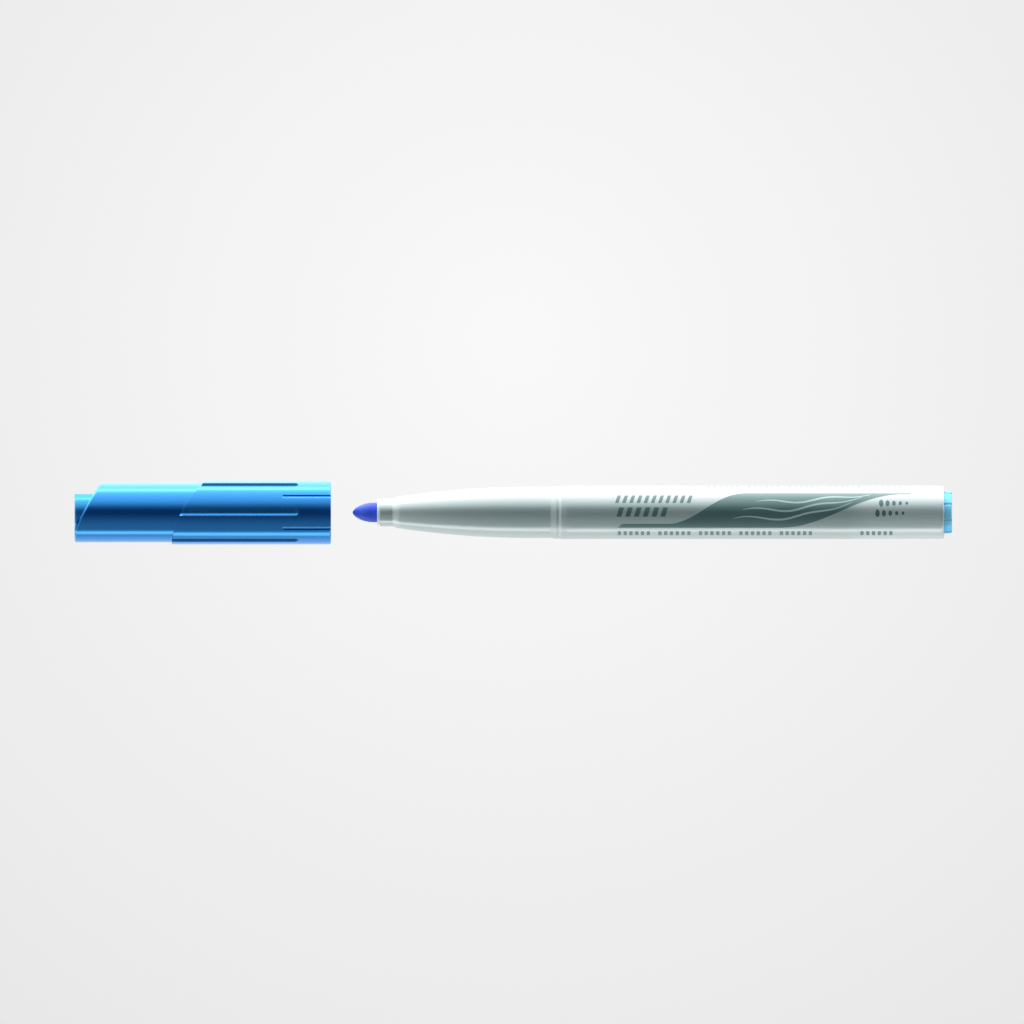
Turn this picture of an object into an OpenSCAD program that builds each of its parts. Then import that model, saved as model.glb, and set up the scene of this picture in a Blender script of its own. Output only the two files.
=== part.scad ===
// Slim whiteboard marker with its cap pulled off in line with the nib.
// Millimetres. The marker's axis is X: the nib points to -X and the plugged end to +X, +Z is up.
// The origin is on the axis, at the barrel's front shoulder, where the cap's rim stops.

/* [Barrel] */
// Outer radius of the straight barrel
barrel_r = 5.75; // [5.74:0.01:6.2]
// Length of the barrel behind the shoulder
barrel_len = 82.7; // [78:0.1:110]
// Radius of the bore that holds the reservoir
bore_r = 4.75; // [4.7:0.05:4.9]
// Depth of the edge break at the rear rim
rim_break = 0.35; // [0.1:0.05:0.5]
// Number of ribs that centre the reservoir
rib_count = 6; // [3:1:8]

/* [Nose] */
// Length of the nose in front of the shoulder
nose_len = 39.25; // [38.5:0.25:41]
// Radius of the snout that the cap's inner tube seals on
snout_r = 3.0; // [2.95:0.01:3.0]
// Length of the cylindrical snout
snout_len = 2.9; // [2:0.1:3.2]
// Radius of the nose where its curve ends
nose_back_r = 5.53; // [5.45:0.01:5.55]
// Radius of the shallow arc that shapes the nose
nose_arc_r = 191; // [180:1:220]
// Radius of the raised bead that grips the cap
bead_r = 5.68; // [5.56:0.01:5.7]

/* [Nib] */
// Radius of the nib
nib_r = 2.13; // [1.9:0.01:2.2]
// Length of nib that stands out of the collar
nib_out = 5.3; // [5:0.1:6]
// Length of the rounded tip
nib_round = 4.6; // [3:0.1:4.8]
// Sharpness of the rounded tip, from an ellipse to a point
nib_power = 1.24; // [1:0.02:1.4]
// Thickness of the collar's lip in front of the snout
lip_t = 0.55; // [0.3:0.05:0.7]
// Outer radius of the collar's sleeve inside the snout
sleeve_r = 2.6; // [2.4:0.05:2.65]

/* [Reservoir] */
// Radius of the fibre reservoir
core_r = 4.3; // [4:0.05:4.3]
// Length of the fibre reservoir
core_len = 88; // [70:1:88]
// Thickness of the film wrapped round the fibre
film_t = 0.1; // [0.05:0.01:0.12]

/* [End plug] */
// Radius of the visible button
button_r = 4.55; // [4.2:0.05:4.65]
// Length of the visible button
button_len = 1.7; // [1.2:0.1:3]
// Number of slots round the button
slot_count = 8; // [4:1:12]
// Width of each slot
slot_w = 0.7; // [0.3:0.05:0.8]

/* [Cap] */
// Outer radius of the cap's wide part
cap_r = 6.95; // [6.9:0.05:7.4]
// Outer radius of the cap's narrow closed end
cap_front_r = 6.5; // [6.4:0.05:6.6]
// Length of the cap
cap_len = 55.4; // [55:0.1:58]
// Radius of the cap's mouth bore
cap_bore_r = 5.72; // [5.7:0.01:5.73]
// Free gap between the cap's rim and the nib's tip
cap_gap = 4.65; // [0:0.05:30]
// Outer radius of the inner sealing tube
seal_r = 4.0; // [3.8:0.05:4.2]
// Bore radius of the inner sealing tube
seal_bore_r = 3.06; // [3.02:0.01:3.1]
// Number of long grooves, and of short grooves between them
groove_count = 6; // [4:1:8]
// Depth of the long grooves
groove_depth = 0.4; // [0.2:0.05:0.5]

/* [Hidden] */
$fn = 96;
PAST = 1; // how far a cutting tool runs past the face that it cuts
BITE = 0.02; // overlap of the press fits

// barrel and nose stations along X
rear_x = barrel_len;
snout_x = -nose_len;
snout_back_x = snout_x + snout_len;
snout_cone = 0.85; // length of the short cone between the snout and the arc
arc_front_x = snout_back_x + snout_cone;
arc_back_x = -6.8;
ARC_STEPS = 12;
bead_foot_x = -2.2;
bead_front_x = -1.1;
bead_back_x = -0.95;
dip_front_x = -0.75;
dip_back_x = -0.5;
dip_r = bead_r - 0.08;
snout_break = 0.12;
rib_w = 0.8;
rib_front_x = -6;
rib_back_x = rear_x - 7;
rib_gap = 0.02;

// nib and collar stations
lip_x = snout_x - lip_t;
lip_r = snout_r - 0.1;
lip_chamfer = 0.2;
nib_tip_x = lip_x - nib_out;
sleeve_back_x = snout_x + 7;
tail_r = 1.3;

// the bore widens behind the collar's sleeve to a waist, and again to the reservoir's bore
cone_front_x = sleeve_back_x + 0.75;
waist_r = 4.45;
waist_front_x = -16.5;
waist_back_x = -10;
bore_front_x = rib_front_x - 1;

// reservoir stations
core_front_x = -14;
core_back_x = core_front_x + core_len;
tail_taper_x = core_front_x - 2;
tail_end_x = core_front_x + 8;
tail_point_x = tail_end_x + 2;
BULLET_STEPS = 12;
nib_flat_r = 0.12; // blunt end of the nib's tip

// plug stations
plug_len = 6;
plug_front_x = rear_x - plug_len;
button_x = rear_x - 0.1;
button_back_x = rear_x + button_len;
button_round = 0.9;

// cap stations, with the cap pulled off
rim_x = nib_tip_x - cap_gap;
tip_x = rim_x - cap_len;
neck_x = rim_x - 34.75;
neck_r = 5.35;
seal_mouth_x = rim_x - 36.25;
seal_wall = 1.2;
// the slanted closed end is a wide arc about a point behind and below the tip
slant_r = 58;
slant_centre = [tip_x + 53.5, 0, -26.3];
// the edge between narrow and wide part is a tighter arc
step_r = 21.6;
step_centre = [rim_x - 12.98, 0, -9.46];
groove_r = 0.8;
groove_end_x = rim_x - 7;
thin_r = 0.5;
thin_depth = 0.16;
thin_front_x = rim_x - 10.15;

// radius of the nose's arc at station x
function arc_radius(x) = nose_back_r - nose_arc_r + sqrt(pow(nose_arc_r, 2) - pow(x - arc_back_x, 2));

// point of the nib's bullet-shaped tip, an eased quarter ellipse, at an angle from 0 (tip) to 90 (full radius)
function bullet_point(angle) = [nib_r * pow(sin(angle), nib_power), nib_tip_x + nib_round * (1 - cos(angle))];

module along_x() rotate([0, 90, 0]) children();

// a solid of revolution about X, from points [radius, station]
module turned(points) along_x() rotate_extrude() polygon(points);

module barrel_outside() turned(concat(
    [[0, snout_x], [snout_r - snout_break, snout_x], [snout_r, snout_x + snout_break], [snout_r, snout_back_x]],
    [for (i = [0 : ARC_STEPS])
        let (x = arc_front_x + (arc_back_x - arc_front_x) * i / ARC_STEPS)
        [arc_radius(x), x]],
    [[nose_back_r, bead_foot_x], [bead_r, bead_front_x], [bead_r, bead_back_x]],
    [[dip_r, dip_front_x], [dip_r, dip_back_x], [barrel_r, 0]],
    [[barrel_r, rear_x - rim_break], [barrel_r - rim_break, rear_x], [0, rear_x]]
));

module barrel_bore() turned([
    [0, snout_x - PAST], [sleeve_r, snout_x - PAST], [sleeve_r, cone_front_x],
    [waist_r, waist_front_x], [waist_r, waist_back_x],
    [bore_r, bore_front_x], [bore_r, rear_x + PAST], [0, rear_x + PAST]
]);

module barrel() color("#d3d9d9") {
    difference() {
        barrel_outside();
        barrel_bore();
    }
    for (i = [0 : rib_count - 1])
        rotate([i * 360 / rib_count, 0, 0])
        translate([rib_front_x, -rib_w / 2, core_r + film_t + rib_gap])
        cube([rib_back_x - rib_front_x, rib_w, bore_r - core_r - film_t]);
}

module nib() color("#2f52b4") turned(concat(
    [[0, nib_tip_x], [nib_flat_r, nib_tip_x]],
    [for (i = [1 : BULLET_STEPS]) bullet_point(90 * i / BULLET_STEPS)],
    [[nib_r, tail_taper_x], [tail_r, core_front_x], [tail_r, tail_end_x], [0, tail_point_x]]
));

module nib_collar() color("#eef3f5") difference() {
    turned([
        [0, lip_x], [lip_r - lip_chamfer, lip_x], [lip_r, lip_x + lip_chamfer], [lip_r, snout_x],
        [sleeve_r, snout_x], [sleeve_r, sleeve_back_x], [0, sleeve_back_x]
    ]);
    turned([[0, lip_x - PAST], [nib_r, lip_x - PAST], [nib_r, sleeve_back_x + PAST], [0, sleeve_back_x + PAST]]);
}

module ink_reservoir() color("#3d63c4") difference() {
    turned([[0, core_front_x], [core_r, core_front_x], [core_r, core_back_x], [0, core_back_x]]);
    turned([[0, core_front_x - PAST], [tail_r, core_front_x - PAST], [tail_r, tail_end_x], [0, tail_point_x]]);
}

module reservoir_film() color("#e6eef4") turned([
    [core_r, core_front_x], [core_r + film_t, core_front_x],
    [core_r + film_t, core_back_x], [core_r, core_back_x]
]);

module end_plug() color("#4ba6dc") {
    fin_w = 0.9;
    fin_span = 6;
    cup_r = 3.6;
    cup_depth = 4.4;
    lead_in = 0.5;
    lead_r = bore_r - 0.3;
    slot_depth = 0.4;
    slot_front_x = rear_x + 0.1;
    round_mid = 0.3 * button_round;
    difference() {
        union() {
            turned([
                [0, plug_front_x], [lead_r, plug_front_x], [bore_r + BITE, plug_front_x + lead_in],
                [bore_r + BITE, button_x], [0, button_x]
            ]);
            turned([
                [0, button_x - PAST], [button_r, button_x - PAST], [button_r, button_back_x - button_round],
                [button_r - round_mid, button_back_x - round_mid],
                [button_r - button_round, button_back_x], [0, button_back_x]
            ]);
        }
        translate([plug_front_x - PAST, 0, 0])
            along_x() cylinder(r = cup_r, h = cup_depth + PAST);
        for (i = [0 : slot_count - 1])
            rotate([(i + 0.5) * 360 / slot_count, 0, 0])
            translate([slot_front_x, -slot_w / 2, button_r - slot_depth])
            cube([button_len, slot_w, slot_depth + PAST]);
    }
    for (turn = [0, 90])
        rotate([turn, 0, 0])
        translate([core_back_x, -fin_w / 2, -fin_span / 2])
        cube([plug_front_x + cup_depth - core_back_x + BITE, fin_w, fin_span]);
}

// a long cylinder across the marker: what lies inside it is kept
module across(centre, radius) translate(centre) rotate([90, 0, 0])
    cylinder(r = radius, h = 4 * cap_r, center = true, $fn = 200);

module cap_outside() {
    rim_chamfer = 0.25;
    turned([[0, tip_x], [cap_front_r, tip_x], [cap_front_r, rim_x - PAST], [0, rim_x - PAST]]);
    intersection() {
        turned([
            [0, neck_x], [cap_r, neck_x], [cap_r, rim_x - rim_chamfer], [cap_r - rim_chamfer, rim_x], [0, rim_x]
        ]);
        union() {
            across(step_centre, step_r);
            translate([step_centre[0], -2 * cap_r, -2 * cap_r])
                cube([rim_x - step_centre[0] + PAST, 4 * cap_r, 4 * cap_r]);
        }
    }
}

module cap_bore() {
    lead_in = 0.3;
    turned([
        [0, tip_x - PAST], [neck_r, tip_x - PAST], [neck_r, neck_x - PAST], [cap_bore_r, neck_x],
        [cap_bore_r, rim_x - lead_in], [cap_bore_r + lead_in, rim_x], [cap_bore_r + lead_in, rim_x + PAST],
        [0, rim_x + PAST]
    ]);
}

// a groove along X: a round bar with a ball at its end, sunk into the outside
module groove(x_from, x_to, radius, depth, ball_at) {
    translate([x_from, 0, cap_r + radius - depth])
        along_x() cylinder(r = radius, h = x_to - x_from, $fn = 32);
    translate([ball_at, 0, cap_r + radius - depth])
        sphere(r = radius, $fn = 32);
}

module cap_shell() color("#1c69be") difference() {
    intersection() {
        cap_outside();
        across(slant_centre, slant_r);
    }
    cap_bore();
    for (i = [0 : groove_count - 1]) {
        rotate([90 + i * 360 / groove_count, 0, 0])
            groove(neck_x - 2 * PAST, groove_end_x - groove_r, groove_r, groove_depth, groove_end_x - groove_r);
        rotate([90 + (i + 0.5) * 360 / groove_count, 0, 0])
            groove(thin_front_x, rim_x + PAST, thin_r, thin_depth, thin_front_x);
    }
}

module cap_inner() color("#1a5fb0") {
    rib_t = 0.9;
    rib_root = 0.3;
    rib_from_x = tip_x + 6.6;
    rib_to_x = seal_mouth_x - 0.6;
    lead_in = 0.25;
    difference() {
        turned([[0, tip_x], [seal_r, tip_x], [seal_r, seal_mouth_x], [0, seal_mouth_x]]);
        turned([
            [0, tip_x + seal_wall], [seal_bore_r, tip_x + seal_wall], [seal_bore_r, seal_mouth_x - lead_in],
            [seal_bore_r + lead_in, seal_mouth_x], [seal_bore_r + lead_in, seal_mouth_x + PAST],
            [0, seal_mouth_x + PAST]
        ]);
    }
    intersection() {
        for (i = [0 : groove_count - 1])
            rotate([90 + (i + 0.5) * 360 / groove_count, 0, 0])
            translate([rib_from_x, -rib_t / 2, seal_r - rib_root])
            cube([rib_to_x - rib_from_x, rib_t, neck_r]);
        along_x() translate([0, 0, tip_x])
            cylinder(r = neck_r + BITE, h = cap_len);
    }
}

barrel();
nib();
nib_collar();
ink_reservoir();
reservoir_film();
end_plug();
cap_shell();
cap_inner();
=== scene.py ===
import bmesh
import bpy
import math
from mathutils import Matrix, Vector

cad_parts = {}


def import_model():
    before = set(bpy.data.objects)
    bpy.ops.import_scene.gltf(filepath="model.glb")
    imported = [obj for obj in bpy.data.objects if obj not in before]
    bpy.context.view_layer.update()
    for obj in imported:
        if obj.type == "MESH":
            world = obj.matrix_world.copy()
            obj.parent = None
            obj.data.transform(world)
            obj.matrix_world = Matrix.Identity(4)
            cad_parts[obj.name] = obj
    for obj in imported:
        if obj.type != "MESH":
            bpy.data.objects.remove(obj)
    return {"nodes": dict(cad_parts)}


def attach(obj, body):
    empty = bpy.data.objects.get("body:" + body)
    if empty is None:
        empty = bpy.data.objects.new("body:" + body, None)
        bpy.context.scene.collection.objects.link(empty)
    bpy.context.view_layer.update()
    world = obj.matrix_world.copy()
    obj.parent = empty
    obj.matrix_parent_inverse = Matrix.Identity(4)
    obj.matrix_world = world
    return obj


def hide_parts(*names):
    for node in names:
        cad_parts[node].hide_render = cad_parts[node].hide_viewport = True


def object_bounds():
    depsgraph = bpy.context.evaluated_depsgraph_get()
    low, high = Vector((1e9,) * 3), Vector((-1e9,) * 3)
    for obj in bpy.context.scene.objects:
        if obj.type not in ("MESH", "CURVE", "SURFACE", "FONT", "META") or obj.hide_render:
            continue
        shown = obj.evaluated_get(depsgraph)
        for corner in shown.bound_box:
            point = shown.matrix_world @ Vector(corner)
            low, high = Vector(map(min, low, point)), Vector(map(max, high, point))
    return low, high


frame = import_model()
CAD_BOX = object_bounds()

# Lengths are in millimetres up to the last step, which scales them to metres, apart from the studio's, which
# are in metres. Stations are along X.
# An angle goes round the X axis in degrees: 0 faces the camera (-Y), 90 is up, -90 is down.
MM = 0.001


# ---------------------------------------------------------------- mesh tools

def point(x, r, angle):
    """The place, in metres, at a station, a radius and an angle."""
    a = math.radians(angle)
    return (x * MM, -r * math.cos(a) * MM, r * math.sin(a) * MM)


def steps(start, end, count):
    """count + 1 evenly spaced numbers from start to end."""
    return [start + (end - start) * i / count for i in range(count + 1)]


def smoothstep(t):
    """Rises smoothly from 0 to 1 as t does."""
    t = min(1.0, max(0.0, t))
    return t * t * (3 - 2 * t)


def soft_min(a, b, width):
    """The smaller of two numbers, with the corner between them rounded over a width."""
    h = max(width - abs(a - b), 0.0) / width
    return min(a, b) - h * h * width / 4


def rounded(corners, count=3):
    """A profile from (x, r, fillet) corners, each corner with a fillet as count + 1 points on its arc."""
    profile = []
    for i, (x, r, fillet) in enumerate(corners):
        if fillet == 0 or i in (0, len(corners) - 1):
            profile.append((x, r))
            continue
        ends = []
        for other in (corners[i - 1], corners[i + 1]):
            dx = other[0] - x
            dr = other[1] - r
            length = math.hypot(dx, dr)
            reach = min(fillet, length * 0.49)
            ends.append((x + dx / length * reach, r + dr / length * reach))
        for t in steps(0, 1, count):
            a, b, c = (1 - t) ** 2, 2 * t * (1 - t), t * t
            profile.append((a * ends[0][0] + b * x + c * ends[1][0], a * ends[0][1] + b * r + c * ends[1][1]))
    return profile


def finish_piece(name, bm, body, nodes, material, sharp=35):
    """Turns a bmesh into a clean, smooth-shaded piece that rides on its body."""
    bmesh.ops.remove_doubles(bm, verts=bm.verts, dist=1e-8)
    bmesh.ops.dissolve_degenerate(bm, edges=bm.edges, dist=1e-9)
    bmesh.ops.recalc_face_normals(bm, faces=bm.faces)
    mesh = bpy.data.meshes.new(name)
    bm.to_mesh(mesh)
    bm.free()
    mesh.shade_smooth()
    mesh.set_sharp_from_angle(angle=math.radians(sharp))
    mesh.materials.append(material)
    piece = bpy.data.objects.new(name, mesh)
    bpy.context.scene.collection.objects.link(piece)
    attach(piece, body)
    if nodes:
        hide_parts(*nodes)
    return piece


def add_turned(bm, angles, profile_at, loop=True):
    """Adds a turned form: profile_at(angle) gives the (x, r) points of that column, in one order.
    A loop closes on itself, and a profile that isn't one starts and ends on the axis."""
    columns = []
    for angle in angles:
        columns.append([bm.verts.new(point(x, r, angle)) for x, r in profile_at(angle)])
    rows = len(columns[0])
    for i, column in enumerate(columns):
        beside = columns[(i + 1) % len(columns)]
        for k in range(rows if loop else rows - 1):
            after = (k + 1) % rows
            bm.faces.new((column[k], beside[k], beside[after], column[after]))


def even_angles(count):
    """A number of angles that divide a full turn evenly."""
    return [360 * i / count for i in range(count)]


def turned_piece(name, profile, count, body, nodes, material, loop=True):
    """A piece with the same profile all round, in a number of columns."""
    bm = bmesh.new()
    add_turned(bm, even_angles(count), lambda angle: profile, loop)
    return finish_piece(name, bm, body, nodes, material)


# ---------------------------------------------------------------- materials

# Colours, and where a look changes: a band as (from x, to x, softness), a change as (from, to) in x or r.
BARREL_LIGHT = (0.27, 0.345, 0.35)
BARREL_DARK = (0.255, 0.325, 0.33)
# painted light: a paler colour for the barrel's rear, standing in for the brighter reflections there
BARREL_PAINTED_LIGHT = (0.38, 0.455, 0.46)
BARREL_SPIGOT = (0.38, 0.46, 0.49)
BARREL_RUBBED_X = (-2.4, 1.2, 0.3)
BARREL_PAINTED_LIGHT_X = (64.0, 90.0, 2.5)
BARREL_SPIGOT_X = (81.2, 83.0, 0.15)
CAP_RUBBED_X = (-52.5, -49.0, 0.8)
CAP_LIGHT = (0.003, 0.06, 0.3)
CAP_DARK = (0.003, 0.054, 0.275)
# the groove bottoms' colours are partly painted shade: darker blue than the cap's, for the shade in those
# recesses
GROOVE_SHADE_LIGHT = (0.004, 0.075, 0.25)
GROOVE_SHADE_DARK = (0.003, 0.06, 0.2)
INNER_LIGHT = (0.006, 0.13, 0.42)
INNER_DARK = (0.005, 0.12, 0.39)
PLUG_LIGHT = (0.2, 0.72, 1.0)
PLUG_DARK = (0.18, 0.68, 0.98)
# painted light: the slots' pale colour stands in for light shining through the thin plastic there
PLUG_SLOT_GLOW = (0.8, 1.0, 1.0)
PLUG_SLOT_GLOW_R = (4.42, 4.56)
PLUG_SLOT_GLOW_X = (84.0, 84.2)
COLLAR_LIGHT = (0.8, 0.86, 0.92)
COLLAR_DARK = (0.76, 0.82, 0.88)
NIB_LIGHT = (0.014, 0.085, 0.75)
NIB_DARK = (0.008, 0.06, 0.62)
NIB_TIP = (0.05, 0.12, 0.85)
NIB_TIP_X = (-45.1, -41.0)
FIBRE_LIGHT = (0.12, 0.2, 0.6)
FIBRE_DARK = (0.05, 0.1, 0.45)
FILM_LIGHT = (0.82, 0.88, 0.92)
FILM_DARK = (0.7, 0.78, 0.85)
INK_LIGHT = (0.013, 0.054, 0.06)
INK_DARK = (0.01, 0.044, 0.049)
PALE_LIGHT = (0.3, 0.38, 0.385)
PALE_DARK = (0.28, 0.36, 0.365)
FLOOR_LIGHT = (0.34, 0.34, 0.34)
FLOOR_DARK = (0.32, 0.32, 0.32)


def new_material(name):
    """A new material, its node tree and its shader."""
    material = bpy.data.materials.new(name)
    material.use_nodes = True
    tree = material.node_tree
    return material, tree, tree.nodes["Principled BSDF"]


def add_node(tree, kind, inputs=None, **settings):
    """Adds a node, with a link for each input that is a socket and a plain value for each one that isn't."""
    node = tree.nodes.new(kind)
    for key, value in settings.items():
        setattr(node, key, value)
    for key, value in (inputs or {}).items():
        if isinstance(value, bpy.types.NodeSocket):
            tree.links.new(value, node.inputs[key])
        else:
            node.inputs[key].default_value = value
    return node


def math_node(tree, operation, a, b=0.0):
    """The result of one sum on two values or sockets."""
    return add_node(tree, "ShaderNodeMath", {0: a, 1: b}, operation=operation).outputs[0]


def grain(tree, size_mm, stretch=(1, 1, 1), detail=3.0):
    """Noise in the piece's own coordinates, with features of the size given."""
    coord = add_node(tree, "ShaderNodeTexCoord")
    scale = [1 / (size_mm * MM * s) for s in stretch]
    placed = add_node(tree, "ShaderNodeMapping", {"Vector": coord.outputs["Object"], "Scale": scale})
    inputs = {"Vector": placed.outputs[0], "Scale": 1.0, "Detail": detail}
    return add_node(tree, "ShaderNodeTexNoise", inputs).outputs["Fac"]


def ramp(tree, value, low, high, from_low=0.3, from_high=0.7):
    """Maps a value between two limits to a number or a colour between low and high."""
    if isinstance(low, tuple):
        part = add_node(tree, "ShaderNodeMapRange", {0: value, 1: from_low, 2: from_high}).outputs[0]
        mixed = add_node(tree, "ShaderNodeMix", {0: part, 6: (*low, 1), 7: (*high, 1)}, data_type="RGBA")
        return mixed.outputs[2]
    inputs = {0: value, 1: from_low, 2: from_high, 3: low, 4: high}
    return add_node(tree, "ShaderNodeMapRange", inputs).outputs[0]


def station(tree):
    """The station along X, in millimetres."""
    coord = add_node(tree, "ShaderNodeTexCoord")
    apart = add_node(tree, "ShaderNodeSeparateXYZ", {0: coord.outputs["Object"]})
    return math_node(tree, "MULTIPLY", apart.outputs["X"], 1 / MM)


def band(tree, x, start, end, edge):
    """1 between two stations, 0 outside them, with soft edges."""
    rise = ramp(tree, x, 0.0, 1.0, start - edge, start + edge)
    fall = ramp(tree, x, 1.0, 0.0, end - edge, end + edge)
    return math_node(tree, "MULTIPLY", rise, fall)


def mix_colour(tree, part, a, b):
    """The colour a where part is 0, b where it is 1. Each is a colour or a socket."""
    inputs = {0: part}
    for key, value in ((6, a), (7, b)):
        inputs[key] = (*value, 1) if isinstance(value, tuple) else value
    return add_node(tree, "ShaderNodeMix", inputs, data_type="RGBA").outputs[2]


def bump(tree, height, distance_mm, strength, normal=None):
    """A normal that follows a height, on top of another normal if there is one."""
    inputs = {"Height": height, "Distance": distance_mm * MM, "Strength": strength}
    if normal is not None:
        inputs["Normal"] = normal
    return add_node(tree, "ShaderNodeBump", inputs).outputs[0]


def moulded_plastic(name, light, dark, rough, worn, ior=1.5, tint=(1, 1, 1)):
    """Injection-moulded plastic: flow clouds in the colour, fine orange peel and lengthwise rubbing marks."""
    material, tree, shader = new_material(name)
    clouds = grain(tree, 9.0, (2.5, 1, 1))
    peel = grain(tree, 0.35)
    rubbed = grain(tree, 0.12, (40, 1, 1), 2.0)
    colour = ramp(tree, clouds, dark, light)
    roughness = ramp(tree, rubbed, rough, worn, 0.45, 0.75)
    tree.links.new(colour, shader.inputs["Base Color"])
    tree.links.new(roughness, shader.inputs["Roughness"])
    fine = bump(tree, peel, 0.0004, 0.5)
    tree.links.new(bump(tree, rubbed, 0.0003, 0.4, fine), shader.inputs["Normal"])
    shader.inputs["IOR"].default_value = ior
    shader.inputs["Specular IOR Level"].default_value = 1.0
    shader.inputs["Specular Tint"].default_value = (*tint, 1)
    return material, tree, shader, colour, roughness


def barrel_look():
    """Pale plastic: rubbed by the cap's rim at the bead and shoulder, coloured paler towards the rear as
    painted light that stands in for the brighter reflections there, and tinted where the plug's spigot shows
    through."""
    material, tree, shader, colour, roughness = moulded_plastic(
        "barrel_look", BARREL_LIGHT, BARREL_DARK, rough=0.28, worn=0.35, ior=2.5, tint=(0.94, 1.0, 1.0))
    x = station(tree)
    marks = grain(tree, 0.25, (1, 6, 6))
    rub = math_node(tree, "MULTIPLY", band(tree, x, *BARREL_RUBBED_X), marks)
    # painted light: the rear is coloured paler, in place of the brighter reflections there
    paler = mix_colour(tree, band(tree, x, *BARREL_PAINTED_LIGHT_X), colour, BARREL_PAINTED_LIGHT)
    spigot = band(tree, x, *BARREL_SPIGOT_X)
    tree.links.new(mix_colour(tree, spigot, paler, BARREL_SPIGOT), shader.inputs["Base Color"])
    worn = math_node(tree, "ADD", roughness, math_node(tree, "MULTIPLY", rub, 0.2))
    tree.links.new(worn, shader.inputs["Roughness"])
    return material


def axis_distance(tree):
    """The distance from the marker's axis, in millimetres."""
    coord = add_node(tree, "ShaderNodeTexCoord")
    inputs = {0: coord.outputs["Object"], 1: (0, 1, 1)}
    flat = add_node(tree, "ShaderNodeVectorMath", inputs, operation="MULTIPLY")
    length = add_node(tree, "ShaderNodeVectorMath", {0: flat.outputs[0]}, operation="LENGTH")
    return math_node(tree, "MULTIPLY", length.outputs["Value"], 1 / MM)


def cap_look():
    """Glossy blue plastic, with the rim rubbed by fingers."""
    material, tree, shader, _, roughness = moulded_plastic(
        "cap_look", CAP_LIGHT, CAP_DARK, rough=0.13, worn=0.2, ior=3.0, tint=(0.0, 0.38, 1.0))
    rim = band(tree, station(tree), *CAP_RUBBED_X)
    rubbed = math_node(tree, "MULTIPLY", rim, grain(tree, 0.3, (1, 5, 5)))
    worn = math_node(tree, "ADD", roughness, math_node(tree, "MULTIPLY", rubbed, 0.1))
    tree.links.new(worn, shader.inputs["Roughness"])
    shader.inputs["Coat Weight"].default_value = 1.0
    shader.inputs["Coat Roughness"].default_value = 0.08
    return material


def matt_shaded_groove_look():
    """The bottoms of the cap's long grooves: blue plastic with the mould's matt, spark-eroded grain, in a
    darker colour that is painted shade.
    """
    material, tree, shader = new_material("matt_shaded_groove_look")
    grit = grain(tree, 0.07)
    shade_mottle = grain(tree, 2.0, (3, 1, 1))
    # painted shade: the grooves' colour is darker than the cap's, with a random mottle
    tree.links.new(ramp(tree, shade_mottle, GROOVE_SHADE_DARK, GROOVE_SHADE_LIGHT), shader.inputs["Base Color"])
    tree.links.new(ramp(tree, grit, 0.5, 0.7), shader.inputs["Roughness"])
    tree.links.new(bump(tree, grit, 0.004, 0.6), shader.inputs["Normal"])
    shader.inputs["IOR"].default_value = 1.4
    shader.inputs["Specular IOR Level"].default_value = 1.0
    shader.inputs["Specular Tint"].default_value = (0.1, 0.7, 1.0, 1)
    return material


def plug_look():
    """Bright blue plastic, coloured paler down in the slots, where it is thin: painted light that stands in
    for light shining through.
    """
    material, tree, shader, colour, _ = moulded_plastic(
        "plug_look", PLUG_LIGHT, PLUG_DARK, rough=0.38, worn=0.48, ior=2.3, tint=(0.15, 0.6, 1.0))
    # painted light in the slots: a paler colour where the plastic is thin, in place of light shining through
    deep = ramp(tree, axis_distance(tree), 1.0, 0.0, *PLUG_SLOT_GLOW_R)
    side = ramp(tree, station(tree), 1.0, 0.0, *PLUG_SLOT_GLOW_X)
    thin = math_node(tree, "MULTIPLY", deep, side)
    tree.links.new(mix_colour(tree, thin, colour, PLUG_SLOT_GLOW), shader.inputs["Base Color"])
    return material


def nib_look():
    """Pressed fibre, soaked with ink, and brighter towards the tip."""
    material, tree, shader = new_material("nib_look")
    fibres = grain(tree, 0.09, (14, 1, 1), 4.0)
    blots = grain(tree, 1.6)
    soaked = ramp(tree, blots, NIB_DARK, NIB_LIGHT, 0.35, 0.65)
    tip = ramp(tree, station(tree), 1.0, 0.0, *NIB_TIP_X)
    tree.links.new(mix_colour(tree, tip, soaked, NIB_TIP), shader.inputs["Base Color"])
    tree.links.new(ramp(tree, fibres, 0.4, 0.6), shader.inputs["Roughness"])
    tree.links.new(bump(tree, fibres, 0.03, 0.7), shader.inputs["Normal"])
    shader.inputs["Sheen Weight"].default_value = 0.2
    shader.inputs["Sheen Roughness"].default_value = 0.4
    shader.inputs["Sheen Tint"].default_value = (0.45, 0.5, 1.0, 1)
    return material


def fibre_look():
    """The reservoir's fibre bundle, which runs lengthwise and is stained unevenly by ink."""
    material, tree, shader = new_material("reservoir_look")
    strands = grain(tree, 0.15, (60, 1, 1), 4.0)
    stain = grain(tree, 6.0, (3, 1, 1))
    tree.links.new(ramp(tree, stain, FIBRE_DARK, FIBRE_LIGHT), shader.inputs["Base Color"])
    tree.links.new(ramp(tree, strands, 0.7, 0.95), shader.inputs["Roughness"])
    tree.links.new(bump(tree, strands, 0.05, 0.8), shader.inputs["Normal"])
    return material


def film_look():
    """Clear film with fine wrinkles, drawn tight round the fibre."""
    material, tree, shader = new_material("film_look")
    wrinkles = grain(tree, 0.6, (8, 1, 1))
    tree.links.new(ramp(tree, wrinkles, FILM_DARK, FILM_LIGHT), shader.inputs["Base Color"])
    tree.links.new(ramp(tree, wrinkles, 0.1, 0.25), shader.inputs["Roughness"])
    tree.links.new(bump(tree, wrinkles, 0.02, 0.6), shader.inputs["Normal"])
    shader.inputs["Transmission Weight"].default_value = 0.6
    return material


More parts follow.
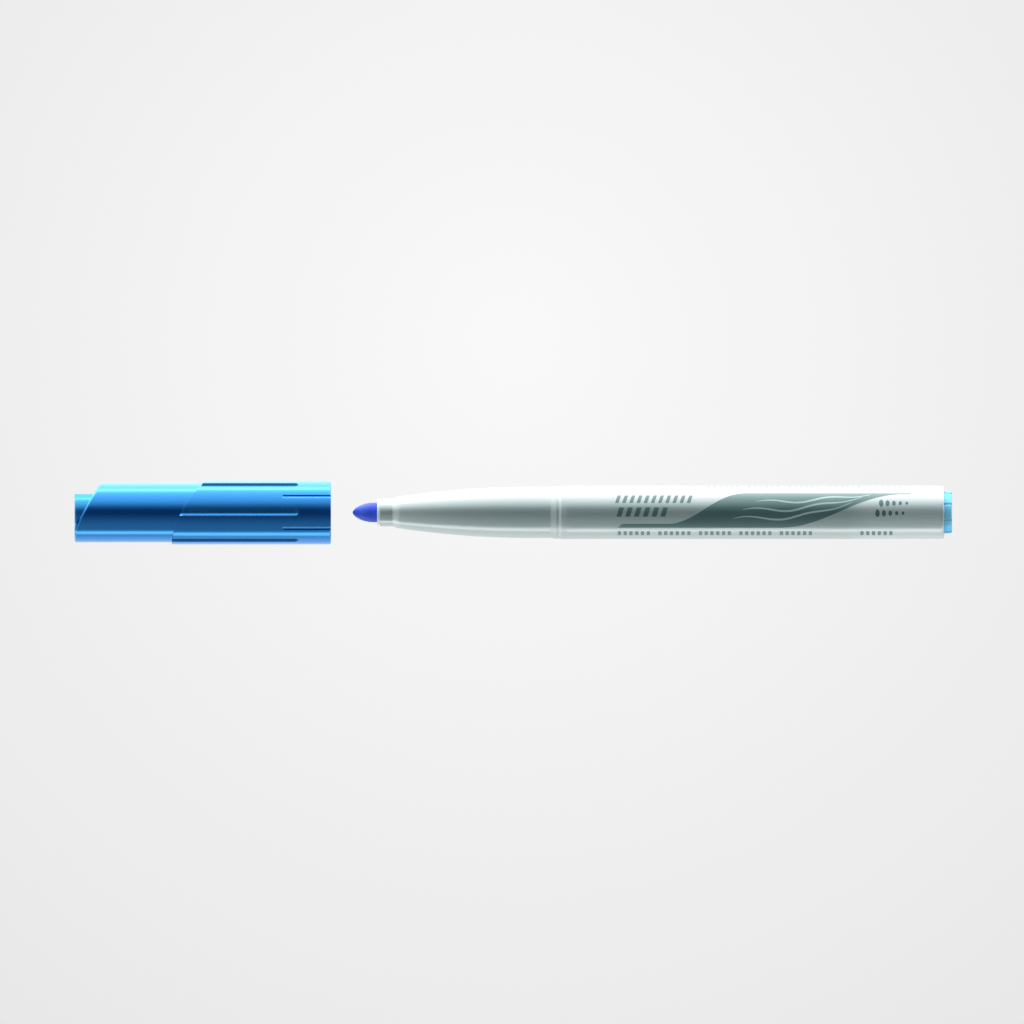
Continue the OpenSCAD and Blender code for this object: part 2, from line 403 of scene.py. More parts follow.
def ink_look(name, light, dark, ior):
    """Screen-printed ink: a thin film with fine pinholes in its gloss and a slightly uneven tone."""
    material, tree, shader = new_material(name)
    tone = grain(tree, 2.5, (2, 1, 1))
    speckle = grain(tree, 0.08)
    tree.links.new(ramp(tree, tone, dark, light), shader.inputs["Base Color"])
    tree.links.new(ramp(tree, speckle, 0.34, 0.46), shader.inputs["Roughness"])
    tree.links.new(bump(tree, speckle, 0.001, 0.6), shader.inputs["Normal"])
    shader.inputs["IOR"].default_value = ior
    shader.inputs["Specular IOR Level"].default_value = 1.0
    shader.inputs["Specular Tint"].default_value = (0.75, 1.0, 0.98, 1)
    return material


BARREL_LOOK = barrel_look()
CAP_LOOK = cap_look()
MATT_SHADED_GROOVE_LOOK = matt_shaded_groove_look()
INNER_LOOK = moulded_plastic(
    "inner_look", INNER_LIGHT, INNER_DARK, rough=0.18, worn=0.26, ior=2.4, tint=(0.12, 0.6, 1.0))[0]
PLUG_LOOK = plug_look()
COLLAR_LOOK = moulded_plastic("collar_look", COLLAR_LIGHT, COLLAR_DARK, rough=0.18, worn=0.28)[0]
NIB_LOOK = nib_look()
INK_LOOK = ink_look("ink_look", INK_LIGHT, INK_DARK, ior=1.9)
PALE_LOOK = ink_look("pale_ink_look", PALE_LIGHT, PALE_DARK, ior=2.2)


# ---------------------------------------------------------------- the marker

BARREL_R = 5.75
BORE_R = 4.75
REAR_X = 82.7
REAR_ROUNDING = 0.8
SNOUT_X = -39.25
SNOUT_BACK_X = -36.35
SNOUT_R = 3.0
SLEEVE_R = 2.6
ARC_FRONT_X = -35.5
ARC_BACK_X = -6.8
ARC_END_R = 5.53
ARC_R = 191.0
# the bead that the cap snaps over, as (x, r, fillet), from the nose's end to the groove before the shoulder
BEAD = [(-2.25, 5.51, 0.1), (-1.05, 5.69, 0.1), (-0.95, 5.69, 0.04), (-0.75, 5.6, 0.06), (-0.5, 5.6, 0.1)]
RIB_INNER_R = 4.42
RIB_HALF = 5.2
RIB_SIDES = (-5.3, -5.1, 5.1, 5.3)
RIB_FRONT_X, RIB_BACK_X, RIB_EASE = -6.0, 75.7, 0.02
# the bore inside the nose, as (x, r), down to the sleeve that holds the nib's collar
NOSE_BORE = [(-7, BORE_R), (-10, 4.45), (-16.5, 4.45), (-31.5, SLEEVE_R)]


def arc_radius(x):
    """The radius of the nose, whose outline is a long arc."""
    return ARC_END_R - ARC_R + math.sqrt(ARC_R ** 2 - (x - ARC_BACK_X) ** 2)


def off_centre(angle, first, apart):
    """How far an angle lies from the nearest of a ring of features, in degrees."""
    return abs((angle - first + apart / 2) % apart - apart / 2)


def barrel_piece():
    """The barrel: snout, nose, bead, shoulder and body outside, and the bore with six ribs inside."""
    nose = [(x, arc_radius(x), 0) for x in steps(ARC_FRONT_X, ARC_BACK_X, 40)]
    outside = rounded(
        [(SNOUT_X, SLEEVE_R, 0), (SNOUT_X, SNOUT_R, 0.14), (SNOUT_BACK_X, SNOUT_R, 0.3)] + nose
        + BEAD + [(0, BARREL_R, 0.12)]
        + [(x, BARREL_R, 0) for x in steps(1, 81, 40)]
        + [(REAR_X, BARREL_R, REAR_ROUNDING), (REAR_X, BORE_R + 0.02, 0)], 4)

    def profile(angle):
        on_rib = off_centre(angle, 30, 60) < RIB_HALF
        bore = RIB_INNER_R if on_rib else BORE_R
        ribs = [(RIB_BACK_X + RIB_EASE, BORE_R), (RIB_BACK_X, bore), (RIB_FRONT_X, bore),
                (RIB_FRONT_X - RIB_EASE, BORE_R)]
        return outside + ribs + NOSE_BORE

    angles = sorted(set(even_angles(144)) | {c + s for c in range(30, 360, 60) for s in RIB_SIDES})
    bm = bmesh.new()
    add_turned(bm, angles, profile)
    return finish_piece("barrel_body", bm, "barrel", ["barrel"], BARREL_LOOK, sharp=50)


NIB_X = -45.1
NIB_BULLET = 4.6
NIB_R = 2.13
NIB_BLUNT = 0.06
NIB_POWER = 1.24
# the back of the nib and its thin tail, as (x, r, fillet)
NIB_TAIL = [(-16.2, NIB_R, 0), (-16, NIB_R, 0.15), (-14, 1.3, 0.15), (-6, 1.3, 0.3), (-4, 0, 0)]


def nib_piece():
    """The nib: a bullet point, a straight rod and a tail that reaches into the reservoir."""
    profile = [(NIB_X, 0), (NIB_X, NIB_BLUNT)]
    for angle in steps(5, 90, 30):
        a = math.radians(angle)
        profile.append((NIB_X + NIB_BULLET * (1 - math.cos(a)), NIB_R * math.sin(a) ** NIB_POWER))
    profile += [(x, NIB_R) for x in steps(-40, -16.5, 12)]
    profile += rounded(NIB_TAIL)
    return turned_piece("nib_fibre", profile, 96, "barrel", ["nib"], NIB_LOOK, loop=False)


LIP_X, LIP_R = -39.8, 2.9
COLLAR_BACK_X, COLLAR_BORE_R = -32.25, 2.135


def collar_piece():
    """The collar: a lip in front of the snout and a sleeve between the snout and the nib."""
    lip = [(LIP_X + 0.15, COLLAR_BORE_R, 0), (LIP_X, NIB_R + 0.06, 0.06), (LIP_X, LIP_R, 0.2)]
    shoulder = [(SNOUT_X, LIP_R, 0), (SNOUT_X, SLEEVE_R, 0)]
    sleeve = [(COLLAR_BACK_X, SLEEVE_R, 0.1), (COLLAR_BACK_X, COLLAR_BORE_R, 0)]
    profile = rounded(lip + shoulder + sleeve, 4)
    return turned_piece("collar_ring", profile, 120, "barrel", ["nib_collar"], COLLAR_LOOK)


# the plug's inside and spigot, as (x, r)
PLUG_HUB = [(80.7, 0), (80.7, 2), (81.1, 3.2)]
PLUG_CUP = [(81.1, 3.6), (76.7, 3.6), (76.7, 4.45), (77.2, 4.74), (82.6, 4.74)]
BUTTON_R = 4.55
BUTTON_FRONT_X, BUTTON_EDGE_X, BUTTON_BACK_X = 82.6, 83.4, 84.4
BUTTON_FILLET = 0.9
BUTTON_FLAT_R = 3.4
DIMPLE_DEPTH = 0.15
SLOTS = 8
SLOT_HALF = 0.35
SLOT_FLOOR_R = 4.15
SLOT_FRONT_X = 82.8
SLOT_MARGINS = (0.02, 0.08)
FIN_FRONT_X, FIN_BACK_X = 74, 81.2
FIN_HALF, FIN_SPAN, FIN_EASE = 0.45, 3.0, 0.08


def plug_piece():
    """The rear plug: a button with slots cut into its side, and a cup that faces the reservoir."""
    side = rounded([
        (BUTTON_FRONT_X, 4.6, 0), (BUTTON_FRONT_X, BUTTON_R, 0), (SLOT_FRONT_X, BUTTON_R, 0),
        (BUTTON_EDGE_X, BUTTON_R, 0), (BUTTON_BACK_X, BUTTON_R, BUTTON_FILLET),
        (BUTTON_BACK_X, BUTTON_FLAT_R, 0)], 10)
    flat = [(BUTTON_BACK_X, r) for r in (3.0, 2.6, 2.2)]
    floor_x = BUTTON_BACK_X - DIMPLE_DEPTH
    dimple = [(BUTTON_BACK_X - 0.8 * DIMPLE_DEPTH, 1.9), (floor_x, 0.9), (floor_x, 0)]
    # each column is (angle, height above that angle's line, whether the slot is cut there)
    columns = []
    pitch = 360 / SLOTS
    for i in range(SLOTS):
        centre = pitch * (i + 0.5)
        columns += [(centre, h, True) for h in steps(-SLOT_HALF, SLOT_HALF, 4)]
        columns += [(centre, SLOT_HALF + h, False) for h in SLOT_MARGINS]
        columns += [(centre + a, 0, False) for a in steps(7.5, 37.5, 8)]
        columns += [(centre + pitch, -SLOT_HALF - h, False) for h in reversed(SLOT_MARGINS)]

    bm = bmesh.new()
    made = []
    for centre, h, cut in columns:
        verts = []
        for x, r in PLUG_HUB + PLUG_CUP + side + flat + dimple:
            deep = min(r, SLOT_FLOOR_R) if cut and x >= SLOT_FRONT_X - 0.001 else r
            aside = math.degrees(math.asin(h / max(r, SLOT_FLOOR_R))) if h else 0
            verts.append(bm.verts.new(point(x, deep, centre + aside)))
        made.append(verts)
    for i, verts in enumerate(made):
        beside = made[(i + 1) % len(made)]
        for k in range(len(verts) - 1):
            bm.faces.new((verts[k], beside[k], beside[k + 1], verts[k + 1]))
    add_fins(bm)
    return finish_piece("rear_plug", bm, "barrel", ["end_plug"], PLUG_LOOK, sharp=32)


def add_fins(bm):
    """The cross inside the plug that stops the reservoir: a plus-shaped bar with slightly eased corners."""
    end_u, end_v = FIN_SPAN - FIN_EASE, FIN_HALF - FIN_EASE
    arm = [(FIN_HALF, FIN_HALF), (end_u, FIN_HALF), (FIN_SPAN, end_v), (FIN_SPAN, -end_v), (end_u, -FIN_HALF)]
    outline = []
    for turn in range(4):
        a = math.radians(90 * turn)
        for u, v in arm:
            outline.append((u * math.cos(a) - v * math.sin(a), u * math.sin(a) + v * math.cos(a)))
    outline = outline[::-1]
    front = [bm.verts.new((FIN_FRONT_X * MM, y * MM, z * MM)) for y, z in outline]
    back = [bm.verts.new((FIN_BACK_X * MM, y * MM, z * MM)) for y, z in outline]
    count = len(outline)
    for i in range(count):
        bm.faces.new((front[i], front[(i + 1) % count], back[(i + 1) % count], back[i]))
    bm.faces.new(front[::-1])
    bm.faces.new(back)


# ---------------------------------------------------------------- the cap

RIM_X = -49.75
TIP_X = -105.15
NECK_X = -84.5
CAP_R = 6.95
FRONT_R = 6.5
CAP_BORE_R = 5.72
NECK_R = 5.35
FACE_RADII = (NECK_R, 5.55, 5.85, 6.1, 6.3)
STEP_RADII = (6.56, 6.7, 6.84)
# the cylinders across the marker that shape the slanted end and the step
SLANT_R, SLANT_X, SLANT_Z = 58.0, -51.65, -26.3
STEP_R, STEP_X, STEP_Z = 21.6, -62.73, -9.46
# eased edges, as (distance along, depth below the surface)
SLANT_EDGE = ((0.02, 0.19), (0.1, 0.12), (0.22, 0.06), (0.36, 0.018), (0.5, 0))
STEP_EDGE = ((0.002, 0.006), (0.008, 0.002), (0.018, 0))
RIM_EDGE = ((0.24, 0.005), (0.16, 0.03), (0.09, 0.08), (0.04, 0.14), (0.01, 0.2), (0, 0.27))
# the rim's face, as (distance from the rim, r)
RIM_FACE = ((0, 6.3), (0, 6.08), (0.04, 6.02), (0.3, CAP_BORE_R))
# the grooves are cut by ball-ended bars, and their edges are rounded over a width
LONG_BAR, LONG_DEPTH, LONG_END_X, LONG_SOFT = 0.8, 0.4, -56.75, 0.1
THIN_BAR, THIN_DEPTH, THIN_END_X, THIN_SOFT = 0.5, 0.16, -60.4, 0.08
# the stretch in which the grooves end, which has finer rows
FINE_FROM_X, FINE_TO_X = -61.0, -56.4
# the columns' angles from the middle of a long groove to just short of the middle of a thin one
HALF_SECTOR = [
    0, 1.4, 2.8, 3.6, 4.1, 4.3, 4.7, 5.0, 5.3, 5.5, 5.7, 5.9, 6.3, 7, 8, 9.5, 11, 13, 15, 17, 19, 21, 22.5,
    24, 25.2, 26, 26.4, 26.7, 27, 27.4, 28, 28.6, 29.3,
]
# the part of a long groove that is matt and coloured darker as painted shade, in degrees from its middle; the
# groove
#  on the printed side is glossy, without the painted shade, on the whole of its lower half
MATT_FROM, FRONT_MATT_FROM, MATT_TO = -3.5, -0.9, 6.3


def arc_station(z, centre_x, centre_z, radius):
    """The station at which a cylinder across the marker meets the height z."""
    return centre_x - math.sqrt(max(0.0, radius ** 2 - (z - centre_z) ** 2))


def front_station(r, angle):
    """The station of the slanted front end at a radius and an angle."""
    z = r * math.sin(math.radians(angle))
    return max(TIP_X, arc_station(z, SLANT_X, SLANT_Z, SLANT_R))


def step_station(r, angle):
    """The station of the step between the narrow and the wide part."""
    z = r * math.sin(math.radians(angle))
    return max(NECK_X, arc_station(z, STEP_X, STEP_Z, STEP_R))


def groove_radius(off, bar, depth, past_end):
    """The radius of a ball-ended groove, off degrees from its middle and some way past the ball's middle."""
    reach = bar ** 2 - max(0.0, past_end) ** 2
    middle = CAP_R + bar - depth
    a = math.radians(off)
    under = reach - (middle * math.sin(a)) ** 2
    if reach <= 0 or under <= 0:
        return CAP_R + 1
    return middle * math.cos(a) - math.sqrt(under)


def wide_radius(x, angle, top=CAP_R):
    """The wide part's radius, with its long and thin grooves cut into it."""
    long_one = groove_radius(off_centre(angle, 0, 60), LONG_BAR, LONG_DEPTH, x - (LONG_END_X - LONG_BAR))
    thin_one = groove_radius(off_centre(angle, 30, 60), THIN_BAR, THIN_DEPTH, (THIN_END_X + THIN_BAR) - x)
    return soft_min(soft_min(top, long_one, LONG_SOFT), thin_one, THIN_SOFT)


def cap_profile(angle):
    """One column of the cap's closed profile: slanted end, narrow part, step, wide part, rim and bore."""
    inner = front_station(NECK_R, angle)
    points = [(front_station(r, angle), r) for r in FACE_RADII]
    edge = front_station(FRONT_R, angle)
    step = step_station(FRONT_R, angle)
    points += [(edge + s, FRONT_R - d) for s, d in SLANT_EDGE]
    points += [(x, FRONT_R) for x in steps(edge + 0.7, step - 0.25, 26)]
    points += [(step - 0.1, FRONT_R), (step, FRONT_R + 0.002)]
    for r in STEP_RADII:
        x = step_station(r, angle)
        points.append((x, wide_radius(x, angle, r)))
    crest = step_station(CAP_R, angle)
    points += [(crest + s, wide_radius(crest + s, angle, CAP_R - d)) for s, d in STEP_EDGE]
    points += [(x, wide_radius(x, angle)) for x in steps(crest + 0.3, FINE_FROM_X, 24)]
    fine = steps(FINE_FROM_X, FINE_TO_X, 60)[1:]
    points += [(x, wide_radius(x, angle)) for x in fine + steps(FINE_TO_X, RIM_X - 0.3, 8)[1:]]
    points += [(RIM_X - s, wide_radius(RIM_X - s, angle, CAP_R - d)) for s, d in RIM_EDGE]
    points += [(RIM_X - s, r) for s, r in RIM_FACE]
    points += [(x, CAP_BORE_R) for x in steps(RIM_X - 2, NECK_X, 8)]
    points += [(x, NECK_R) for x in steps(NECK_X - 1, inner + 0.3, 5)]
    return points


def cap_angles():
    """The angles of all columns: six sectors, each mirrored about its thin groove."""
    sector = HALF_SECTOR + [30] + [60 - a for a in reversed(HALF_SECTOR[1:])]
    return [60 * k + a for k in range(6) for a in sector]


def cap_piece():
    """The cap's sleeve, with a second material, matt and coloured darker as painted shade, on the bottoms of
    its long grooves.
    """
    bm = bmesh.new()
    add_turned(bm, cap_angles(), cap_profile)
    piece = finish_piece("cap_sleeve", bm, "cap", ["cap_shell"], CAP_LOOK, sharp=50)
    piece.data.materials.append(MATT_SHADED_GROOVE_LOOK)
    for face in piece.data.polygons:
        x, y, z = (value / MM for value in face.center)
        angle = math.degrees(math.atan2(z, -y))
        off = (angle + 30) % 60 - 30
        matt_from = FRONT_MATT_FROM if abs(angle) < 30 else MATT_FROM
        in_groove = matt_from < off < MATT_TO and FRONT_R < math.hypot(y, z) < CAP_R - 0.02
        if in_groove and step_station(CAP_R, angle) + 0.05 < x < LONG_END_X:
            face.material_index = 1
    return piece


SEAL_R = 4.0
SEAL_BORE_R = 3.06
SEAL_MOUTH_X = -86.0
SEAL_RIB_FRONT_X, SEAL_RIB_BACK_X, SEAL_RIB_EASE = -98.55, -86.6, 0.05
SEAL_RIB_HALF = 5.8
SEAL_RIB_SIDES = (-6, -5.6, 5.6, 6)
SEAL_CHAMBER_X = -103.95
# the tube's end with the dimple, as (distance behind the tip, r)
SEAL_END = (
    (0.25, 0), (0.25, 0.7), (0.05, 1.0), (0, 1.15), (0, 3.0), (0, 3.6), (0, 3.8), (0.06, 3.94), (0.2, SEAL_R),
)


def seal_piece():
    """The closed tube inside the cap, with six ribs, and the dimple that the mould's gate left in its end."""
    def profile(angle):
        rib = NECK_R if off_centre(angle, 30, 60) < SEAL_RIB_HALF else SEAL_R
        end = [(TIP_X + s, r) for s, r in SEAL_END]
        end += [(x, SEAL_R) for x in steps(TIP_X + 0.5, SEAL_RIB_FRONT_X - SEAL_RIB_EASE, 6)]
        ribs = [(SEAL_RIB_FRONT_X, rib), (SEAL_RIB_BACK_X, rib), (SEAL_RIB_BACK_X + SEAL_RIB_EASE, SEAL_R),
                (SEAL_MOUTH_X - 0.05, SEAL_R), (SEAL_MOUTH_X, 3.95)]
        bore = [(SEAL_MOUTH_X, 3.36), (SEAL_MOUTH_X - 0.05, 3.31), (SEAL_MOUTH_X - 0.25, SEAL_BORE_R)]
        bore += [(x, SEAL_BORE_R) for x in steps(-88, -103.6, 6)]
        bore += [(SEAL_CHAMBER_X + 0.05, 2.9), (SEAL_CHAMBER_X, 2.6), (SEAL_CHAMBER_X, 0)]
        return end + ribs + bore

    angles = sorted(set(even_angles(96)) | {c + s for c in range(30, 360, 60) for s in SEAL_RIB_SIDES})
    bm = bmesh.new()
    add_turned(bm, angles, profile, loop=False)
    return finish_piece("cap_seal_tube", bm, "cap", ["cap_inner"], INNER_LOOK, sharp=32)


# ---------------------------------------------------------------- the print

# how far the ink and the pale ink stand proud of the barrel, and how far they go into it
INK_T, PALE_INK_T, INK_BITE = 0.02, 0.03, 0.01
PATCH_STEPS = 24
RIBBON_FROM_X, RIBBON_TO_X = 12.2, 75.5
# the edges' angles along the thin line and at the upper end, and the stations between which they rise
LINE_LOW, LINE_HIGH = -35, -25.5
UPPER_LOW, UPPER_HIGH = 43, 47
LOW_RISE_X = (47.3, 73.8)
HIGH_RISE_X = (23, 40)
# degrees per millimetre at the slanted start
RIBBON_SLANT = 10.5
# the pale waves, as (from x, to x, how far up the ribbon)
WAVES = ((37, 63, 0.28), (39, 65, 0.5), (42, 67, 0.72))
WAVE_SWING, WAVE_HALF, WAVE_HALF_LEAST = 3.5, 1.9, 0.2
# rows of slanted bars: (from x, to x, low angle, high angle, pitch, width)
BAR_ROWS = ((11.6, 30.0, 21, 40, 1.55, 0.75), (11.9, 24.0, -9, 11, 1.9, 1.05))
BAR_SLANT = 0.03
# rows of dashes: (from x, to x, low angle, high angle); every seventh dash is left out
DASH_ROWS = ((12.2, 56.5, -58, -45), (64.6, 73.4, -58, -45), (31.5, 74.5, 71.5, 77.5))
DASH_PITCH, DASH_WIDTH, DASH_GROUP = 1.25, 0.7, 7
# rows of dots that shrink to the rear: (x of the first, angle)
DOT_ROWS = ((69.1, 20.5), (68.3, -1.5))
DOTS, DOT_PITCH = 5, 1.38
DOT_SIZE, DOT_SHRINK, DOT_WIDTH = 0.66, 0.06, 0.72


def add_patch(bm, stations, low, high, lift=INK_T, slant=0.0):
    """Adds a closed, thin patch of ink from angle low(x) to high(x), sheared by slant mm per degree."""
    sheets = []
    for r in (BARREL_R - INK_BITE, BARREL_R + lift):
        sheet = []
        for x in stations:
            bottom = low(x)
            angles = steps(bottom, high(x), PATCH_STEPS)
            sheet.append([bm.verts.new(point(x + slant * (angle - bottom), r, angle)) for angle in angles])
        sheets.append(sheet)
    under, over = sheets
    last_x, last_a = len(stations) - 1, PATCH_STEPS
    for i in range(last_x):
        for k in range(last_a):
            bm.faces.new((over[i][k], over[i + 1][k], over[i + 1][k + 1], over[i][k + 1]))
            bm.faces.new((under[i][k], under[i][k + 1], under[i + 1][k + 1], under[i + 1][k]))
        for k in (0, last_a):
            bm.faces.new((under[i][k], under[i + 1][k], over[i + 1][k], over[i][k]))
    for k in range(last_a):
        for i in (0, last_x):
            bm.faces.new((under[i][k], under[i][k + 1], over[i][k + 1], over[i][k]))


def ribbon_low(x):
    """The angle of the ribbon's lower edge."""
    start, end = LOW_RISE_X
    return LINE_LOW + (UPPER_LOW - LINE_LOW) * smoothstep((x - start) / (end - start))


def ribbon_high(x):
    """The angle of the ribbon's upper edge, which starts with a slant."""
    start, end = HIGH_RISE_X
    wave = LINE_HIGH + (UPPER_HIGH - LINE_HIGH) * smoothstep((x - start) / (end - start))
    return min(LINE_LOW + RIBBON_SLANT * (x - RIBBON_FROM_X), wave)


def ribbon_piece():
    """The printed ribbon: a thin line that swells into a broad wave and runs out over the top."""
    bm = bmesh.new()
    stations = steps(RIBBON_FROM_X, RIBBON_TO_X, 150)
    add_patch(bm, stations, ribbon_low, lambda x: max(ribbon_high(x), ribbon_low(x) + 0.3))
    return finish_piece("print_ribbon", bm, "barrel", [], INK_LOOK, sharp=50)


def accents_piece():
    """Three fine pale waves along the ribbon."""
    bm = bmesh.new()
    for start, end, rise in WAVES:
        def middle(x):
            low, high = ribbon_low(x), ribbon_high(x)
            swing = WAVE_SWING * math.sin((x - start) / (end - start) * 4 * math.pi)
            return low + (high - low) * rise + swing

        def half(x):
            return WAVE_HALF * math.sin((x - start) / (end - start) * math.pi) ** 0.6 + WAVE_HALF_LEAST
        stations = steps(start, end, 70)
        add_patch(bm, stations, lambda x: middle(x) - half(x), lambda x: middle(x) + half(x), PALE_INK_T)
    return finish_piece("print_waves", bm, "barrel", [], PALE_LOOK, sharp=50)


def marks_piece():
    """Plain marks in place of lettering: rows of slanted bars, of dashes and of dots."""
    bm = bmesh.new()
    for start, end, low, high, pitch, width in BAR_ROWS:
        for i in range(int((end - start) / pitch)):
            x = start + i * pitch
            add_patch(bm, steps(x, x + width, 4), lambda x: low, lambda x: high, slant=BAR_SLANT)
    for start, end, low, high in DASH_ROWS:
        for i in range(int((end - start) / DASH_PITCH)):
            x = start + i * DASH_PITCH
            if i % DASH_GROUP != DASH_GROUP - 1:
                add_patch(bm, steps(x, x + DASH_WIDTH, 3), lambda x: low, lambda x: high)
    for start, middle in DOT_ROWS:
        for i in range(DOTS):
            size = DOT_SIZE - DOT_SHRINK * i
            half_width = DOT_WIDTH * size
            centre = start + DOT_PITCH * i
            tall = math.degrees(size / BARREL_R) * (1.25 - 0.1 * i)

            def reach(x):
                return tall * math.sqrt(max(0.0004, 1 - ((x - centre) / half_width) ** 2))
            stations = [centre - half_width * math.cos(math.radians(t)) for t in steps(0, 180, 16)]
            add_patch(bm, stations, lambda x: middle - reach(x), lambda x: middle + reach(x))
    return finish_piece("print_marks", bm, "barrel", [], INK_LOOK, sharp=50)


# ---------------------------------------------------------------- the studio

# Brightness and tint of the studio by angle round the marker: a big softbox overhead with a bright edge, a
# narrow strip underneath, pale walls behind, and a dim cool room on the camera's side.
WHITE = (1.0, 1.0, 1.0)
COOL = (0.85, 1.0, 1.0)
STUDIO = [
    (-180, 1.1, WHITE), (-150, 1.3, WHITE), (-120, 1.2, WHITE), (-105, 1.0, WHITE), (-96, 0.8, WHITE),
    (-93, 1.1, WHITE), (-90, 2.2, WHITE), (-86, 2.55, WHITE), (-81, 2.4, WHITE), (-77, 1.2, COOL),
    (-73, 0.5, COOL), (-64, 0.38, COOL), (-50, 0.38, COOL), (-35, 0.28, COOL), (-20, 0.14, COOL),
    (-5, 0.03, COOL), (10, 0.03, COOL), (20, 0.2, COOL), (28, 0.52, COOL), (36, 0.92, COOL),
    (46, 1.3, COOL), (55, 1.5, WHITE), (65, 1.8, WHITE), (78, 2.3, WHITE), (88, 3.1, WHITE),
    (93, 5.5, WHITE), (99, 5.5, WHITE), (104, 3.4, WHITE), (115, 3.2, WHITE), (130, 3.2, WHITE),
    (142, 2.8, WHITE), (174, 1.15, WHITE),
]
STUDIO_PEAK = 6.0
END_LEVEL = 0.35
# the limits of the pale wall, in the X of a direction
WALL_LEVEL = 0.6
WALL_FROM, WALL_TO, WALL_EDGE = -0.75, -0.3, 0.08
PLAIN_GREY = 0.79
FLOOR_GAP = 0.0001
# the backdrop glows with its own grey, a painted pool of light that falls from its middle outwards
BACKDROP_MIDDLE = (-0.0107, 2.0, 0.0372)
BACKDROP_SPREAD = 0.21
BACKDROP_BRIGHT, BACKDROP_DIM = 0.9765, 0.896
CAMERA_PLACE = (-0.01065, -1.0, 0.0001)
VIEW_WIDTH = 0.2212


def round_light(tree, direction):
    """The studio's light, whose colour goes by the angle round the marker. It is dimmer towards the ends."""
    towards = math_node(tree, "MULTIPLY", direction.outputs["Y"], -1.0)
    angle = math_node(tree, "ARCTAN2", direction.outputs["Z"], towards)
    part = ramp(tree, angle, 0.0, 1.0, -math.pi, math.pi)
    colours = add_node(tree, "ShaderNodeValToRGB", {0: part})
    stops = colours.color_ramp.elements
    while len(stops) > 1:
        stops.remove(stops[-1])
    for i, (degrees, level, tint) in enumerate(STUDIO):
        stop = stops[0] if i == 0 else stops.new((degrees + 180) / 360)
        stop.position = (degrees + 180) / 360
        stop.color = [*(t * level / STUDIO_PEAK for t in tint), 1]
    along = math_node(tree, "ABSOLUTE", direction.outputs["X"])
    fade = ramp(tree, math_node(tree, "POWER", along, 3.0), 1.0, END_LEVEL, 0.0, 1.0)
    strength = math_node(tree, "MULTIPLY", fade, STUDIO_PEAK)
    inputs = {"Color": colours.outputs["Color"], "Strength": strength}
    return add_node(tree, "ShaderNodeBackground", inputs).outputs[0]


def wall_light(tree, direction):
    """The light of a pale wall in front of the nib."""
    wall = band(tree, direction.outputs["X"], WALL_FROM, WALL_TO, WALL_EDGE)
    level = math_node(tree, "MULTIPLY", wall, WALL_LEVEL)
    return add_node(tree, "ShaderNodeBackground", {"Color": (*WHITE, 1), "Strength": level}).outputs[0]


def world():
    """The studio that the marker reflects, and the plain grey that the camera sees past the backdrop."""
    made = bpy.data.worlds.new("studio")
    bpy.context.scene.world = made
    made.use_nodes = True
    tree = made.node_tree
    tree.nodes.clear()
    coord = add_node(tree, "ShaderNodeTexCoord")
    direction = add_node(tree, "ShaderNodeSeparateXYZ", {0: coord.outputs["Generated"]})
    inputs = {0: round_light(tree, direction), 1: wall_light(tree, direction)}
    light = add_node(tree, "ShaderNodeAddShader", inputs)
    grey = (PLAIN_GREY, PLAIN_GREY, PLAIN_GREY, 1)
    plain = add_node(tree, "ShaderNodeBackground", {"Color": grey, "Strength": 1.0})
    seen = add_node(tree, "ShaderNodeLightPath").outputs["Is Camera Ray"]
    both = add_node(tree, "ShaderNodeMixShader", {0: seen, 1: light.outputs[0], 2: plain.outputs[0]})
    add_node(tree, "ShaderNodeOutputWorld", {"Surface": both.outputs[0]})


def plane(name, corners, material):
    """A sheet of the stage, which only the camera sees."""
    mesh = bpy.data.meshes.new(name)
    mesh.from_pydata(corners, [], [range(len(corners))])
    mesh.materials.append(material)
    made = bpy.data.objects.new(name, mesh)
    bpy.context.scene.collection.objects.link(made)
    made.visible_diffuse = False
    made.visible_glossy = False
    made.visible_transmission = False
    made.visible_shadow = False


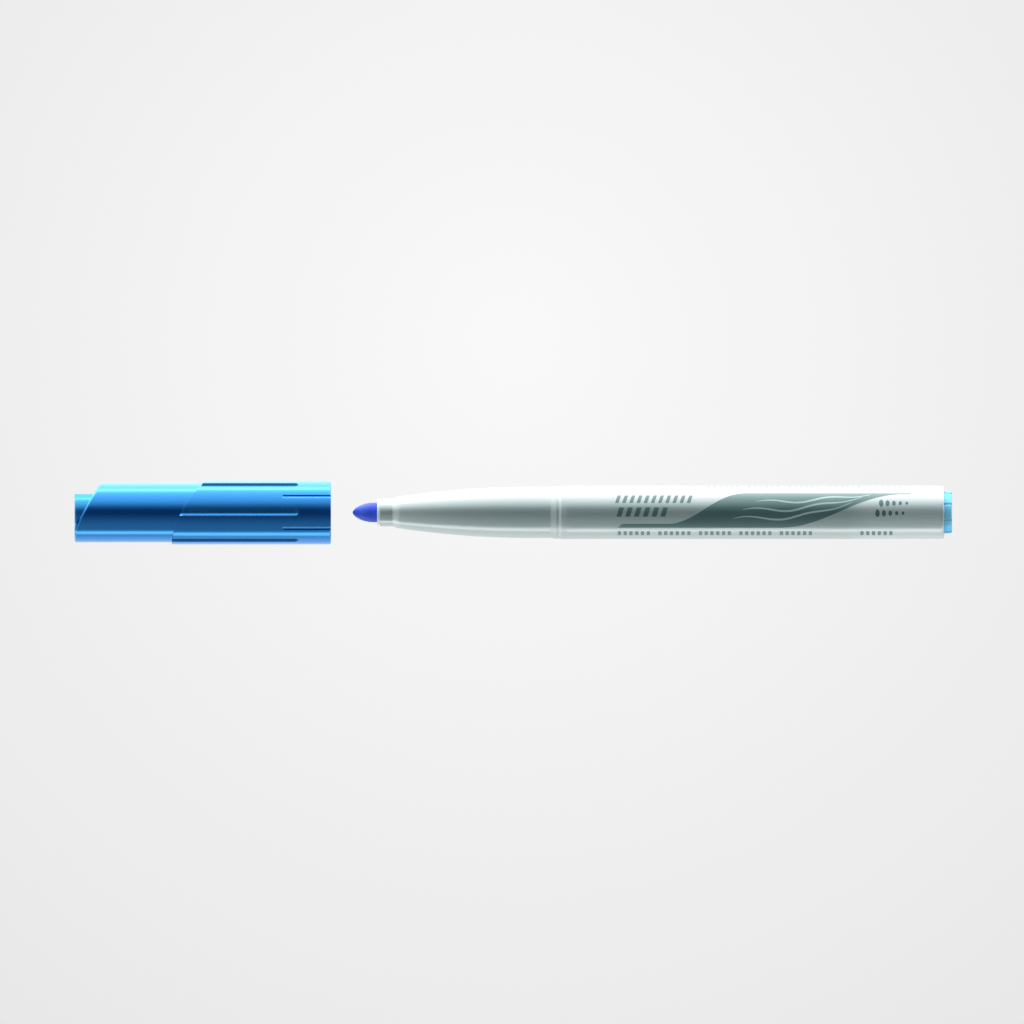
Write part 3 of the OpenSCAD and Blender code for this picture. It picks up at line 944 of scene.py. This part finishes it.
def floor():
    """A plain floor just under the marker, about as bright in low views as the world's plain grey."""
    material, tree, shader = new_material("floor_look")
    speckle = grain(tree, 1.5)
    tree.links.new(ramp(tree, speckle, FLOOR_DARK, FLOOR_LIGHT), shader.inputs["Base Color"])
    shader.inputs["Roughness"].default_value = 0.9
    shader.inputs["Specular IOR Level"].default_value = 0.1
    low, far = CAD_BOX[0][2] - FLOOR_GAP, 6.0
    plane("floor", [(-far, -far, low), (far, -far, low), (far, far, low), (-far, far, low)], material)


def backdrop():
    """A seamless pale sheet behind the marker that glows with its own grey, painted a little brighter round a
    point above it.
    """
    material, tree, shader = new_material("backdrop_look")
    coord = add_node(tree, "ShaderNodeTexCoord")
    inputs = {0: coord.outputs["Object"], 1: BACKDROP_MIDDLE}
    apart = add_node(tree, "ShaderNodeVectorMath", inputs, operation="DISTANCE").outputs["Value"]
    value = ramp(tree, apart, BACKDROP_BRIGHT, BACKDROP_DIM, 0.0, BACKDROP_SPREAD)
    grey = math_node(tree, "POWER", value, 2.2)
    # painted light: the sheet emits its own grey instead of being lit
    glow = add_node(tree, "ShaderNodeEmission", {"Color": grey, "Strength": 1.0})
    tree.links.new(glow.outputs[0], tree.nodes["Material Output"].inputs["Surface"])
    tree.nodes.remove(shader)
    y, far = BACKDROP_MIDDLE[1], 4.0
    plane("backdrop", [(-far, y, -far), (far, y, -far), (far, y, far), (-far, y, far)], material)


def camera():
    """A view without perspective, square on to the printed side."""
    data = bpy.data.cameras.new("camera")
    data.type = "ORTHO"
    data.ortho_scale = VIEW_WIDTH
    data.clip_start = 0.01
    data.clip_end = 20
    data.dof.use_dof = False
    made = bpy.data.objects.new("camera", data)
    bpy.context.scene.collection.objects.link(made)
    made.location = CAMERA_PLACE
    made.rotation_euler = (math.radians(90), 0, 0)
    bpy.context.scene.camera = made


barrel_piece()
nib_piece()
collar_piece()
plug_piece()
cap_piece()
seal_piece()
ribbon_piece()
accents_piece()
marks_piece()
frame["nodes"]["ink_reservoir"].material_slots[0].material = fibre_look()
frame["nodes"]["reservoir_film"].material_slots[0].material = film_look()
world()
floor()
backdrop()
camera()
bpy.context.scene.view_settings.view_transform = "Standard"
